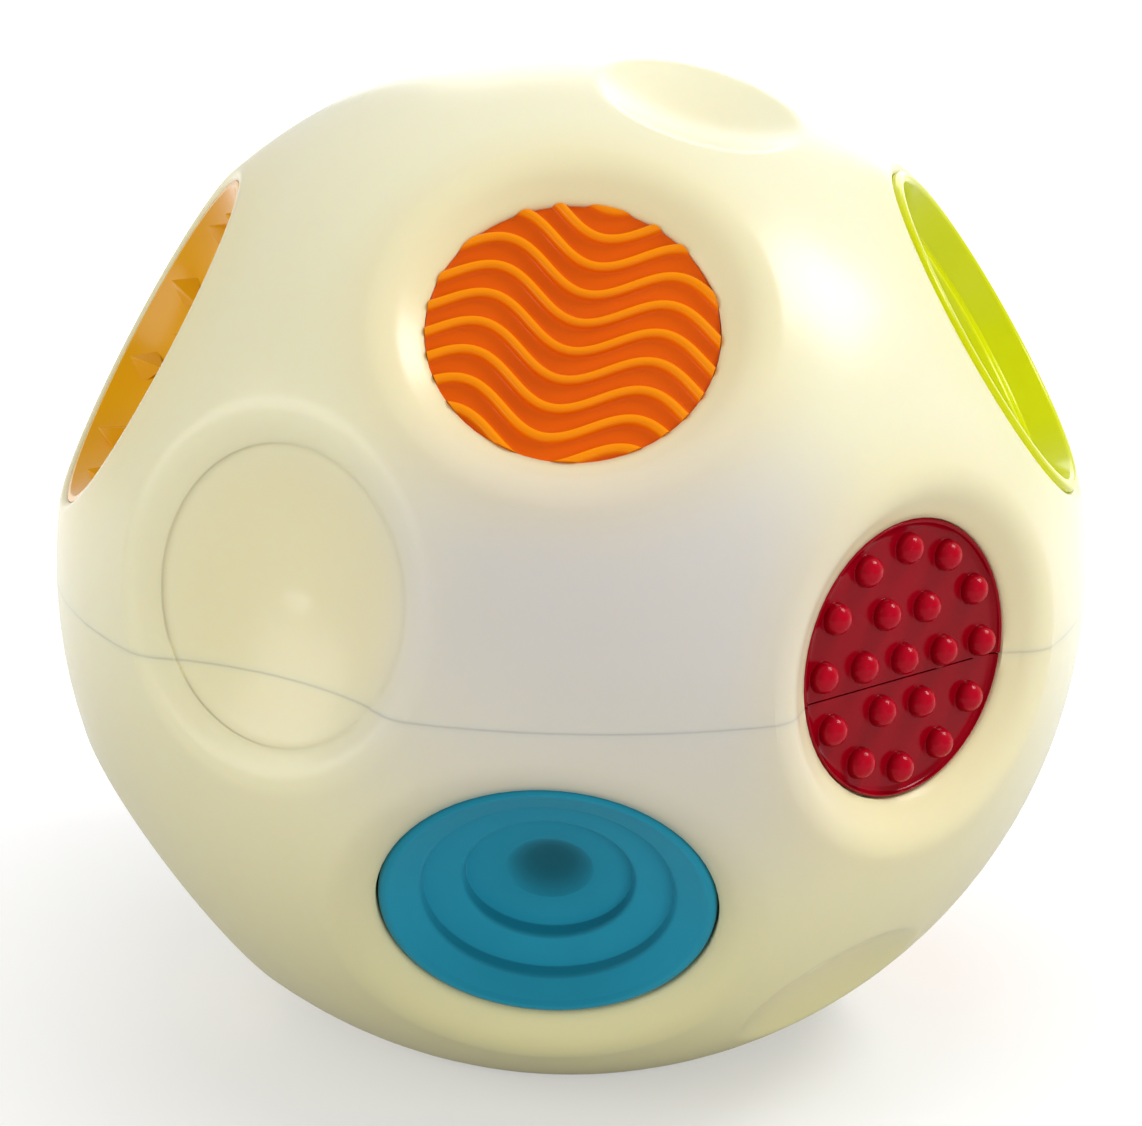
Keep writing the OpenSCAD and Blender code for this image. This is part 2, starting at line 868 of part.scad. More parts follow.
module tray_screws() {
    color("silver")
        lift()
            tray_screw_places()
                translate([0, 0, floor_top + flange_t])
                    mirror([0, 0, 1])
                        small_screw(flange_t + small_screw_grip - over);
}

// A battery, lying along X, its button towards +X or, in the middle row, towards -X
module battery(row) {
    start = cell_shift - cell_l / 2;
    color("dimgray")
        lift()
            translate([0, row * cell_pitch, cell_z])
                rotate([0, 0, row == 0 ? 180 : 0])
                    rotate([0, 90, 0]) {
                        pocket(cell_d / 2, start, start + cell_l - cell_button_h);
                        pocket(cell_button_r, start + cell_l - cell_button_h - over, start + cell_l);
                    }
}

// Points of a coil that narrows towards its far end
function coil_point(t, length) =
    let (r = spring_r * (1 - t * 0.35))
    [r * cos(360 * spring_turns * t), r * sin(360 * spring_turns * t), length * t];
function sweep_points(path, r, sides) = [
    for (i = [0:len(path) - 1])
        let (
            last = len(path) - 1,
            d = path[min(i + 1, last)] - path[max(i - 1, 0)],
            w = d / norm(d),
            s = abs(w[2]) > 0.9 ? [1, 0, 0] : [0, 0, 1],
            u0 = cross(s, w),
            u = u0 / norm(u0),
            v = cross(w, u)
        )
        for (k = [0:sides - 1])
            path[i] + r * (cos(360 * k / sides) * u + sin(360 * k / sides) * v)
];
module sweep(path, r, sides) {
    rings = len(path);
    walls = [
        for (i = [0:rings - 2])
            for (k = [0:sides - 1])
                for (f = [0:1])
                    let (
                        a = i * sides + k,
                        b = i * sides + (k + 1) % sides
                    )
                    f == 0 ? [a, a + sides, b] : [b, a + sides, b + sides]
    ];
    start = [for (k = [0:sides - 1]) k];
    end = [for (k = [sides - 1:-1:0]) (rings - 1) * sides + k];
    polyhedron(points = sweep_points(path, r, sides), faces = concat(walls, [start, end]));
}
module contact_springs() {
    rings = 36;
    free_l = spring_room + cell_gap - 2 * seat_gap - spring_wire;
    path = [for (i = [0:rings]) coil_point(i / rings, free_l)];
    color("silver")
        lift()
            for (row = [-1:1]) {
                side = row == 0 ? 1 : -1;
                translate([side * (tray_in_l / 2 - seat_gap - spring_wire / 2), row * cell_pitch, cell_z])
                    rotate([0, -side * 90, 0])
                        sweep(path, spring_wire / 2, 6);
            }
}
module contact_plates() {
    color("silver")
        lift()
            for (row = [-1:1]) {
                side = row == 0 ? -1 : 1;
                x = side * (tray_in_l / 2 - plate_t / 2);
                translate([x - plate_t / 2, row * cell_pitch - plate_w / 2, cell_z - plate_w / 2])
                    cube([plate_t, plate_w, plate_w]);
            }
}

module circuit_board() {
    color("seagreen")
        lift()
            difference() {
                translate([-board_l / 2, -board_w / 2, board_bottom])
                    cube([board_l, board_w, board_t]);
                board_posts(small_screw_r + hole_gap, board_bottom - over, board_top + over);
            }
}
module board_screws() {
    grip = board_t + small_screw_grip - over;
    color("silver")
        lift()
            for (x = [-1, 1])
                for (y = [-1, 1])
                    translate([
                        x * (tray_in_l / 2 - board_post_inset / 2),
                        y * (tray_in_w / 2 - board_post_inset / 2),
                        board_top
                    ])
                        mirror([0, 0, 1])
                            small_screw(grip);
}
module control_chip() {
    color("black")
        lift()
            translate([chip_x - chip_l / 2, chip_y - chip_w / 2, board_top])
                cube([chip_l, chip_w, chip_h]);
}
module led(step) {
    lift()
        translate([step * led_pitch, led_y, board_top]) {
            cylinder(r = led_flange_r, h = led_flange_h);
            cylinder(r = led_d / 2, h = led_h - led_d / 2);
            translate([0, 0, led_h - led_d / 2])
                sphere(r = led_d / 2);
        }
}

// The motion sensor: a can lying along X on the board, shut by a cap, with a loose ball inside
module sensor_frame() {
    lift()
        translate([-sensor_l / 2, sensor_y, board_top + sensor_lift])
            rotate([0, 90, 0])
                children();
}
module motion_sensor_can() {
    foot_w = sensor_d / 2;
    color("silver") {
        sensor_frame()
            difference() {
                cylinder(r = sensor_d / 2, h = sensor_l - sensor_wall);
                pocket(sensor_bore_r, sensor_wall, sensor_l);
            }
        lift()
            difference() {
                translate([-sensor_l / 2, sensor_y - foot_w / 2, board_top])
                    cube([sensor_l - 2 * sensor_wall, foot_w, sensor_lift]);
                translate([-sensor_l / 2 - over, sensor_y, board_top + sensor_lift])
                    rotate([0, 90, 0])
                        cylinder(r = sensor_d / 2 - sensor_wall / 2, h = sensor_l + 2 * over);
            }
    }
}
module motion_sensor_cap() {
    color("black")
        sensor_frame()
            translate([0, 0, sensor_l - sensor_wall])
                cylinder(r = sensor_d / 2, h = 2 * sensor_wall);
}
module motion_sensor_ball() {
    color("silver")
        sensor_frame()
            translate([sensor_bore_r - sensor_ball_d / 2 - sensor_clearance, 0,
                       sensor_wall + sensor_clearance + sensor_ball_d / 2])
                sphere(r = sensor_ball_d / 2);
}

module power_switch_body() {
    color("darkgray")
        lift()
            place(switch_angles)
                difference() {
                    union() {
                        translate([-switch_l / 2, -switch_w / 2, switch_seat - switch_h])
                            cube([switch_l, switch_w, switch_h]);
                        translate([-switch_ear_l / 2, -switch_w / 2, switch_seat - switch_ear_t])
                            cube([switch_ear_l, switch_w, switch_ear_t]);
                    }
                    for (side = [-1, 1])
                        translate([side * switch_screw_x, 0, 0])
                            pocket(
                                small_screw_r + hole_gap, switch_seat - switch_ear_t - over, switch_seat + over
                            );
                }
}
module power_switch_knob() {
    top = dent_floor + knob_rise;
    low = switch_seat + lever_foot;
    rib_gap = knob_w / 4;
    color("black")
        lift()
            place(switch_angles)
                translate([-knob_travel / 2 - knob_w / 2, -knob_w / 2, low])
                    difference() {
                        cube([knob_w, knob_w, top - low]);
                        for (i = [1:3])
                            translate([i * rib_gap - knob_rib / 2, -over, top - low - knob_rib])
                                cube([knob_rib, knob_w + 2 * over, knob_rib + over]);
                    }
}
module power_switch_screws() {
    color("silver")
        lift()
            place(switch_angles)
                for (side = [-1, 1])
                    translate([side * switch_screw_x, 0, switch_seat - switch_ear_t])
                        small_screw(switch_ear_t + wall - over);
}

// Routes of the wire bundles above the middle of the ball: both ends lie by what they serve,
// and the points between are chosen by hand
wire_lead = wire_d;
function pad_leads(p) = [for (d = [0, wire_lead]) unit(p) * (pad_switch_bottom - board_t - seat_gap - d)];
function board_leads(x, y) = [for (d = [wire_lead, 0]) [x, y, board_top + seat_gap + d]];
pad_front_bends = [[-2, -33, -17.5], [-4, -26, -23], [-6, -19, -32], [-7, -17.5, -38]];
pad_front_route = concat(pad_leads(blue_front_angles), pad_front_bends, board_leads(-7, -17.5));
pad_back_bends = [[2, 31, 14], [4, 25, 0], [7, 18, -18], [8, 16, -34]];
pad_back_route = concat(pad_leads(blue_back_angles), pad_back_bends, board_leads(8, 16));
power_leads = [for (d = [0, wire_lead]) unit(switch_angles) * (switch_seat - switch_h - seat_gap - d)];
power_bends = [[21.5, 26, -42], [18, 20.5, -39.2], [16, 16.5, -39.8]];
power_route = concat(power_leads, power_bends, board_leads(15.5, 15.5));
battery_route = [for (z = [tray_top + seat_gap, board_bottom - seat_gap]) [-24, -3.5, z]];
function smooth(path, n) = [
    for (i = [0:len(path) - 2])
        let (
            a = path[max(i - 1, 0)],
            b = path[i],
            c = path[i + 1],
            d = path[min(i + 2, len(path) - 1)]
        )
        for (k = [0:n - 1])
            let (t = k / n)
            0.5 * ((2 * b) + (c - a) * t + (2 * a - 5 * b + 4 * c - d) * t * t
                + (3 * b - a - 3 * c + d) * t * t * t),
    path[len(path) - 1]
];
module wire(route) {
    steps = 5;
    sides = 8;
    color("firebrick")
        lift()
            sweep(smooth(route, steps), wire_d / 2, sides);
}

upper_shell();
lower_shell();
color("darkorange") lift() place(orange_front_angles) wave_disc();  // orange_wave_disc_front
color("darkorange") lift() place(orange_back_angles) wave_disc();  // orange_wave_disc_back
color("crimson") lift() disc_half(red_front_angles, 1);  // red_stud_disc_front_upper
color("crimson") lift() disc_half(red_front_angles, -1);  // red_stud_disc_front_lower
color("crimson") lift() disc_half(red_back_angles, 1);  // red_stud_disc_back_upper
color("crimson") lift() disc_half(red_back_angles, -1);  // red_stud_disc_back_lower
color("goldenrod") lift() place(yellow_left_angles) pyramid_disc();  // yellow_pyramid_disc_left
color("goldenrod") lift() place(yellow_right_angles) pyramid_disc();  // yellow_pyramid_disc_right
color("yellowgreen") lift() place(lime_right_angles) ring_cup();  // lime_ring_cup
color("steelblue") lift() place(blue_front_angles) pad();  // blue_pad_front
color("steelblue") lift() place(blue_back_angles) pad();  // blue_pad_back
color("silver") lift() place(blue_front_angles) stem_clip();  // stem_clip_front
color("silver") lift() place(blue_back_angles) stem_clip();  // stem_clip_back
color("black") lift() place(blue_front_angles) pad_plunger();  // pad_plunger_front
color("black") lift() place(blue_back_angles) pad_plunger();  // pad_plunger_back
color("dimgray") lift() place(blue_front_angles) pad_switch();  // pad_switch_front
color("dimgray") lift() place(blue_back_angles) pad_switch();  // pad_switch_back
color("seagreen") lift() place(blue_front_angles) pad_board();  // pad_board_front
color("seagreen") lift() place(blue_back_angles) pad_board();  // pad_board_back
pad_board_screws();
battery_door();
color("silver") lift() translate([0, -door_screw_y, 0]) door_screw();  // door_screw_front
color("silver") lift() translate([0, door_screw_y, 0]) door_screw();  // door_screw_back
battery_tray();
tray_screws();
battery(-1);  // battery_front
battery(0);  // battery_middle
battery(1);  // battery_back
contact_springs();
contact_plates();
circuit_board();
board_screws();
control_chip();
color("red") led(-1);  // led_red
color("lime") led(0);  // led_green
color("blue") led(1);  // led_blue
motion_sensor_can();
motion_sensor_cap();
motion_sensor_ball();
power_switch_body();
power_switch_knob();
power_switch_screws();
wire(pad_front_route);  // wire_pad_front
wire(pad_back_route);  // wire_pad_back
wire(power_route);  // wire_power_switch
wire(battery_route);  // wire_battery
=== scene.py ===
import json
import math

import bmesh
import bpy
from mathutils import Matrix, Vector


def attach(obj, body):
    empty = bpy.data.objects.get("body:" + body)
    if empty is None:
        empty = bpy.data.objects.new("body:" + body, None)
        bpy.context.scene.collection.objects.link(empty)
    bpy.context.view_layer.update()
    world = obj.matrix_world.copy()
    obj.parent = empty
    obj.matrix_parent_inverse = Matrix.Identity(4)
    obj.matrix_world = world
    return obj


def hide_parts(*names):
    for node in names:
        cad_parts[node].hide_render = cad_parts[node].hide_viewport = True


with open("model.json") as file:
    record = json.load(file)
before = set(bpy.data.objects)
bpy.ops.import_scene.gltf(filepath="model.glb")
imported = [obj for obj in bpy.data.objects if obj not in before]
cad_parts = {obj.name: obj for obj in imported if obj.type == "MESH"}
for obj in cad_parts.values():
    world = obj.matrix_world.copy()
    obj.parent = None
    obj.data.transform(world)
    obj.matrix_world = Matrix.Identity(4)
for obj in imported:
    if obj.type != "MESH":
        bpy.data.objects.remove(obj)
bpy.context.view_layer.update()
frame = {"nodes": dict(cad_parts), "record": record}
MM = 0.001

# Sizes in mm, as in the source
BALL_R, BASE_R = 75.0, 34.0
DROP = math.sqrt(BALL_R ** 2 - BASE_R ** 2)
CENTRE = Vector((0, 0, DROP * MM))
PLACE = {
    "orange_front": (42.3, -0.5), "red_front": (2.4, 40.9), "blue_front": (-26.2, -2.0),
    "yellow_left": (29.0, -81.6), "lime_right": (32.9, 80.9), "blank_front": (9.5, -33.2),
    "blue_back": (25.0, 178.0), "red_back": (4.0, -138.0), "yellow_right": (-30.0, 100.0),
    "orange_back": (-28.0, 180.0),
}
DISC_R, DISC_EDGE, DISC_FLOOR = 18.9, 67.8, 65.2
PAD_R, PAD_EDGE, PAD_BOTTOM = 22.4, 67.0, 58.4
STEM_R, GROOVE_R, CLIP_TOP, CLIP_LOW, STEM_END = 3.0, 2.4, 54.1, 53.3, 52.5
WIDE_R, WIDE_EDGE, DISH_BOWL, DISH_T = 25.6, 69.2, 33.0, 2.4
DISH_TOP = WIDE_EDGE + 0.2
DISH_CENTRE = DISH_TOP + math.sqrt(DISH_BOWL ** 2 - (WIDE_R - 0.9) ** 2)


def normal(lat, lon):
    la, lo = math.radians(lat), math.radians(lon)
    return Vector((math.cos(la) * math.sin(lo), -math.cos(la) * math.cos(lo), math.sin(la)))


def placed(place):
    """Matrix that puts a mesh made in mm along a dimple's own axis into the row frame."""
    n = normal(*PLACE[place])
    lo = math.radians(PLACE[place][1])
    right = Vector((math.cos(lo), math.sin(lo), 0))
    m = Matrix((right, n.cross(right), n)).transposed().to_4x4()
    return Matrix.Translation(CENTRE) @ m @ Matrix.Scale(MM, 4)


# Camera
EL, ROLL = math.radians(16.83), math.radians(1.32)
X0 = Vector((1, 0, 0))
Y0 = Vector((0, math.sin(EL), math.cos(EL)))
Z0 = Vector((0, -math.cos(EL), math.sin(EL)))
XC = X0 * math.cos(ROLL) + Y0 * math.sin(ROLL)
YC = Y0 * math.cos(ROLL) - X0 * math.sin(ROLL)
cam_data = bpy.data.cameras.new("camera")
cam = bpy.data.objects.new("camera", cam_data)
bpy.context.scene.collection.objects.link(cam)
cam_data.sensor_width = 36.0
cam_data.lens = 3047.0 / 1142.0 * 36.0
cam_data.shift_x = 0.0
cam_data.shift_y = -3.5 / 1142.0
cam_data.clip_start, cam_data.clip_end = 0.01, 20
cam.matrix_world = Matrix.Translation(CENTRE + Z0 * 0.450) @ Matrix((XC, YC, Z0)).transposed().to_4x4()
bpy.context.scene.camera = cam


def cam_dir(x, y, z):
    """A direction given as seen in the photograph: right, up, towards the viewer."""
    return (XC * x + YC * y + Z0 * z).normalized()


# Materials
def lin(r, g, b):
    def f(c):
        c /= 255.0
        return c / 12.92 if c <= 0.04045 else ((c + 0.055) / 1.055) ** 2.4
    return (f(r), f(g), f(b), 1)


class Mat:
    """A material with a Principled shader and a few helpers that add nodes to it."""

    def __init__(self, name, rough=0.3, ior=1.5):
        self.mat = bpy.data.materials.new(name)
        self.mat.use_nodes = True
        self.nt = self.mat.node_tree
        self.b = self.nt.nodes["Principled BSDF"]
        self.b.inputs["Roughness"].default_value = rough
        self.b.inputs["IOR"].default_value = ior
        self.tc = self.nt.nodes.new("ShaderNodeTexCoord")

    def node(self, kind, **values):
        n = self.nt.nodes.new(kind)
        for k, v in values.items():
            setattr(n, k, v)
        return n

    def join(self, a, b):
        self.nt.links.new(a, b)

    def noise(self, scale, detail=3.0, vector=None):
        n = self.node("ShaderNodeTexNoise")
        n.inputs["Scale"].default_value = scale
        n.inputs["Detail"].default_value = detail
        n.inputs["Roughness"].default_value = 0.5
        self.join(vector or self.tc.outputs["Object"], n.inputs["Vector"])
        return n.outputs["Fac"]

    def math(self, op, a, b=None, c=None):
        n = self.node("ShaderNodeMath", operation=op)
        for i, v in enumerate((a, b, c)):
            if v is None:
                continue
            if isinstance(v, (int, float)):
                n.inputs[i].default_value = v
            else:
                self.join(v, n.inputs[i])
        return n.outputs[0]

    def ramp(self, fac, stops):
        n = self.node("ShaderNodeValToRGB")
        while len(n.color_ramp.elements) < len(stops):
            n.color_ramp.elements.new(0.5)
        for e, (at, colour) in zip(n.color_ramp.elements, stops):
            e.position = at
            e.color = colour if len(colour) == 4 else (*colour, 1)
        self.join(fac, n.inputs["Fac"])
        return n.outputs["Color"]

    def step(self, value, low, high):
        n = self.node("ShaderNodeMapRange", interpolation_type="SMOOTHSTEP")
        self.join(value, n.inputs["Value"])
        n.inputs["From Min"].default_value = low
        n.inputs["From Max"].default_value = high
        return n.outputs["Result"]

    def mix(self, fac, a, b):
        n = self.node("ShaderNodeMix", data_type="RGBA", blend_type="MIX")
        for sock, v in ((n.inputs[0], fac), (n.inputs[6], a), (n.inputs[7], b)):
            if isinstance(v, (int, float, tuple)):
                sock.default_value = v
            else:
                self.join(v, sock)
        return n.outputs[2]

    def bump(self, height, strength, distance, prior=None):
        n = self.node("ShaderNodeBump")
        n.inputs["Strength"].default_value = strength
        n.inputs["Distance"].default_value = distance
        self.join(height, n.inputs["Height"])
        if prior:
            self.join(prior, n.inputs["Normal"])
        self.join(n.outputs["Normal"], self.b.inputs["Normal"])
        return n.outputs["Normal"]

    def colour(self, socket):
        self.join(socket, self.b.inputs["Base Color"])

    def put(self, **values):
        for k, v in values.items():
            self.b.inputs[k.replace("_", " ")].default_value = v

    def from_centre(self):
        """Direction and distance from the middle of the ball."""
        sub = self.node("ShaderNodeVectorMath", operation="SUBTRACT")
        self.join(self.tc.outputs["Object"], sub.inputs[0])
        sub.inputs[1].default_value = CENTRE
        unit = self.node("ShaderNodeVectorMath", operation="NORMALIZE")
        self.join(sub.outputs[0], unit.inputs[0])
        length = self.node("ShaderNodeVectorMath", operation="LENGTH")
        self.join(sub.outputs[0], length.inputs[0])
        return unit.outputs[0], length.outputs["Value"]

    def along(self, unit, direction):
        n = self.node("ShaderNodeVectorMath", operation="DOT_PRODUCT")
        self.join(unit, n.inputs[0])
        n.inputs[1].default_value = direction
        return n.outputs["Value"]


def milky(name):
    """Ivory shell plastic with painted light and shade: a neutral, greyer and darker patch in front, painted
    warm shade in the dimples, on the left and low down, and a painted warm glow round the inserts.
    """
    m = Mat(name, 0.2, 1.49)
    unit, length = m.from_centre()
    cloud = m.noise(18.0, 2.0)
    base = m.ramp(cloud, [(0.0, lin(249, 243, 207)), (1.0, lin(251, 245, 210))])
    # Painted light: a greyer, darker patch on the front of the shell.
    front = m.step(m.along(unit, normal(4, 4)), math.cos(math.radians(38)), math.cos(math.radians(14)))
    base = m.mix(front, base, lin(224, 219, 211))
    # Painted shade: yellower and darker low down on the ball.
    low = m.step(m.along(unit, Vector((-0.10, -0.25, -0.96)).normalized()), 0.05, 0.9)
    base = m.mix(low, base, lin(238, 230, 176))
    # Painted shade: yellower on the left side of the ball.
    side = m.step(m.along(unit, normal(0, -75)), 0.25, 0.95)
    base = m.mix(m.math("MULTIPLY", side, 0.6), base, lin(238, 231, 190))
    # Painted shade: yellower and darker in the hollows below the ball's round surface.
    hollow_painted_shade = m.step(m.math("SUBTRACT", BALL_R * MM, length), 0.0004, 0.0075)
    base = m.mix(m.math("MULTIPLY", hollow_painted_shade, 0.75), base, lin(241, 230, 184))
    # Painted glow: a warm ring round each coloured insert, where the inserts' colour bleeds into the shell.
    for place, angle, tint in (("orange_front", 23, (243, 220, 160)), ("orange_back", 23, (243, 220, 160)),
                               ("red_front", 23, (244, 224, 168)), ("red_back", 23, (244, 224, 168)),
                               ("lime_right", 26, (238, 238, 170)), ("yellow_left", 26, (243, 226, 160)),
                               ("yellow_right", 26, (243, 226, 160))):
        glow = m.step(m.along(unit, normal(*PLACE[place])), math.cos(math.radians(angle + 4)),
                      math.cos(math.radians(angle - 8)))
        base = m.mix(m.math("MULTIPLY", glow, 0.4), base, lin(*tint))
    height = m.along(unit, Vector((0, 0, 1)))
    seam = m.math("ABSOLUTE", m.math("MULTIPLY", height, length))
    line = m.math("SUBTRACT", 1.0, m.step(seam, 0.00005, 0.00022))
    base = m.mix(m.math("MULTIPLY", line, 0.12), base, lin(160, 150, 126))
    m.colour(base)
    fine = m.noise(900.0, 2.0)
    soft = m.noise(45.0, 1.0)
    blend = m.node("ShaderNodeBevel", samples=8)
    blend.inputs["Radius"].default_value = 0.002
    plain = m.node("ShaderNodeNewGeometry")
    away = m.step(seam, 0.0008, 0.003)
    first = m.bump(soft, 0.03, 0.0003, m.mix(away, plain.outputs["Normal"], blend.outputs["Normal"]))
    m.bump(fine, 0.04, 0.00002, first)
    m.join(m.ramp(soft, [(0.0, (0.25,) * 3), (1.0, (0.27,) * 3)]), m.b.inputs["Roughness"])
    m.put(Subsurface_Weight=0.35, Subsurface_Radius=(0.0016, 0.0012, 0.0007), Subsurface_Scale=1.0,
          Specular_IOR_Level=0.36)
    return m.mat


def gloss(name, low, high, rough=0.2, rise=None, shine=0.3):
    """Glossy coloured plastic; rise is a lighter colour for raised parts, a painted highlight read from the
    mesh's own height.
    """
    m = Mat(name, rough, 1.5)
    cloud = m.noise(55.0, 2.0)
    base = m.ramp(cloud, [(0.3, low), (0.7, high)])
    if rise:
        # Painted highlight: raised parts turn to the lighter rise colour.
        at = m.node("ShaderNodeAttribute", attribute_name="rise")
        base = m.mix(m.step(at.outputs["Fac"], 0.15, 0.9), base, rise)
    m.colour(base)
    m.bump(m.noise(700.0, 3.0), 0.05, 0.00003)
    m.join(m.ramp(m.noise(120.0, 2.0), [(0.3, (rough * 0.85,) * 3), (0.7, (rough * 1.2,) * 3)]),
           m.b.inputs["Roughness"])
    m.put(Specular_IOR_Level=shine)
    return m.mat


def silicone(name):
    """Soft matte silicone, with painted shade: darker in its pit and on the walls that face up."""
    m = Mat(name, 0.5, 1.42)
    base = m.ramp(m.noise(40.0, 3.0), [(0.3, lin(26, 148, 178)), (0.7, lin(32, 156, 186))])
    # Painted shade in the pit: the lowest parts, by the rise attribute, turn dark blue.
    at = m.node("ShaderNodeAttribute", attribute_name="rise")
    base = m.mix(m.math("MULTIPLY", m.step(at.outputs["Fac"], 0.25, 0.0), 0.9), base, lin(0, 84, 98))
    # Painted shade: walls that face up turn darker blue.
    shape = m.node("ShaderNodeNewGeometry")
    up_wall_painted_shade = m.step(m.along(shape.outputs["Normal"], Vector((0, -0.3, 0.95))), -0.1, 0.75)
    base = m.mix(m.math("MULTIPLY", up_wall_painted_shade, 0.6), base, lin(8, 92, 108))
    m.colour(base)
    first = m.bump(m.noise(1400.0, 4.0), 0.12, 0.00004)
    m.bump(m.noise(160.0, 2.0), 0.06, 0.0002, first)
    m.put(Sheen_Weight=0.06, Sheen_Roughness=0.5, Specular_IOR_Level=0.25)
    return m.mat


def metal(name, dark, light, rough, brush=(1, 1, 30)):
    """Plated steel with fine brushing and a little staining."""
    m = Mat(name, rough)
    stretch = m.node("ShaderNodeMapping")
    stretch.inputs["Scale"].default_value = brush
    m.join(m.tc.outputs["Object"], stretch.inputs["Vector"])
    lines = m.noise(900.0, 3.0, vector=stretch.outputs["Vector"])
    stain = m.noise(220.0, 3.0)
    m.colour(m.mix(m.step(stain, 0.35, 0.7), dark, light))
    m.join(m.ramp(lines, [(0.3, (rough * 0.7,) * 3), (0.7, (rough * 1.3,) * 3)]), m.b.inputs["Roughness"])
    m.bump(lines, 0.12, 0.00002)
    m.put(Metallic=1.0)
    return m.mat


def moulded(name, dark, light, rough=0.42):
    """Matte moulded plastic with a fine spark-eroded grain."""
    m = Mat(name, rough)
    m.colour(m.ramp(m.noise(90.0, 3.0), [(0.32, dark), (0.68, light)]))
    first = m.bump(m.noise(2600.0, 3.0), 0.25, 0.00003)
    m.bump(m.noise(200.0, 1.0), 0.05, 0.0002, first)
    m.join(m.ramp(m.noise(300.0, 2.0), [(0.3, (rough * 0.8,) * 3), (0.7, (rough * 1.2,) * 3)]),
           m.b.inputs["Roughness"])
    return m.mat


def board(name):
    """Circuit board: green lacquer over raised copper tracks, with tinned spots."""
    m = Mat(name, 0.28)
    grid = m.node("ShaderNodeTexBrick", offset=0.37, squash=0.6)
    grid.inputs["Scale"].default_value = 260.0
    grid.inputs["Mortar Size"].default_value = 0.09
    grid.inputs["Color1"].default_value = (0, 0, 0, 1)
    grid.inputs["Color2"].default_value = (0, 0, 0, 1)
    grid.inputs["Mortar"].default_value = (1, 1, 1, 1)
    m.join(m.tc.outputs["Object"], grid.inputs["Vector"])
    spots = m.node("ShaderNodeTexVoronoi")
    spots.inputs["Scale"].default_value = 280.0
    m.join(m.tc.outputs["Object"], spots.inputs["Vector"])
    tin = m.math("SUBTRACT", 1.0, m.step(spots.outputs["Distance"], 0.12, 0.16))
    green = m.ramp(m.noise(80.0, 3.0), [(0.3, lin(16, 84, 46)), (0.7, lin(24, 98, 56))])
    base = m.mix(grid.outputs["Color"], green, lin(40, 124, 70))
    m.colour(m.mix(tin, base, lin(190, 190, 184)))
    m.join(tin, m.b.inputs["Metallic"])
    m.bump(grid.outputs["Color"], 0.3, 0.00004)
    return m.mat


def cell(name):
    """Battery sleeve: dark printed film with a copper-coloured band at one end."""
    m = Mat(name, 0.25)
    parts = m.node("ShaderNodeSeparateXYZ")
    m.join(m.tc.outputs["Object"], parts.inputs[0])
    x = parts.outputs[0]
    wave = m.noise(60.0, 2.0)
    dark = m.ramp(wave, [(0.3, lin(34, 36, 42)), (0.7, lin(44, 46, 54))])
    band = m.step(x, 0.0118, 0.0122)
    line = m.math("MULTIPLY", m.step(x, 0.0104, 0.0107), m.math("SUBTRACT", 1.0, m.step(x, 0.0112, 0.0115)))
    base = m.mix(band, dark, lin(186, 120, 62))
    m.colour(m.mix(line, base, lin(210, 210, 206)))
    m.join(m.math("MULTIPLY", band, 0.7), m.b.inputs["Metallic"])
    m.bump(m.noise(900.0, 2.0), 0.08, 0.00002)
    m.put(Coat_Weight=0.4, Coat_Roughness=0.1)
    return m.mat


def lens(name, dark, light):
    m = Mat(name, 0.08, 1.53)
    m.colour(m.ramp(m.noise(300.0, 2.0), [(0.3, dark), (0.7, light)]))
    m.bump(m.noise(500.0, 2.0), 0.04, 0.00003)
    m.put(Transmission_Weight=0.35, Coat_Weight=0.5)
    return m.mat


MATS = {
    "milky_shell": milky("milky_shell"),
    # The orange ridges and red studs take a lighter rise colour, a painted highlight on the raised parts.
    "orange_disc": gloss("orange_disc", lin(228, 92, 0), lin(236, 98, 0), 0.24,
                         rise=lin(255, 146, 0), shine=0.18),
    "red_disc": gloss("red_disc", lin(146, 0, 18), lin(156, 2, 24), 0.16, rise=lin(186, 6, 34), shine=0.15),
    "yellow_disc": gloss("yellow_disc", lin(236, 168, 0), lin(244, 178, 0), 0.2, shine=0.2),
    "lime_cup": gloss("lime_cup", lin(214, 220, 0), lin(222, 228, 0), 0.18, shine=0.35),
    "blue_pad": silicone("blue_pad"),
    "steel": metal("steel", (0.50, 0.50, 0.50, 1), (0.66, 0.66, 0.65, 1), 0.28),
    "battery_jacket": cell("battery_jacket"),
    "white_plastic": moulded("white_plastic", lin(218, 218, 212), lin(230, 230, 226)),
    "board_green": board("board_green"),
    "lens_red": lens("lens_red", lin(196, 20, 18), lin(220, 36, 30)),
    "lens_green": lens("lens_green", lin(20, 176, 40), lin(40, 200, 60)),
    "lens_blue": lens("lens_blue", lin(20, 60, 196), lin(36, 80, 220)),
    "wire_jacket": moulded("wire_jacket", lin(160, 22, 18), lin(182, 32, 26), 0.38),
    "black_plastic": moulded("black_plastic", lin(24, 24, 26), lin(36, 36, 38)),
}
slots = {s["node"]: s["material_slot"] for s in frame["record"]["subparts"]}
for name, obj in frame["nodes"].items():
    mat = MATS[slots[name]]
    if not obj.data.materials:
        obj.data.materials.append(mat)
    for i in range(len(obj.material_slots)):
        obj.material_slots[i].material = mat


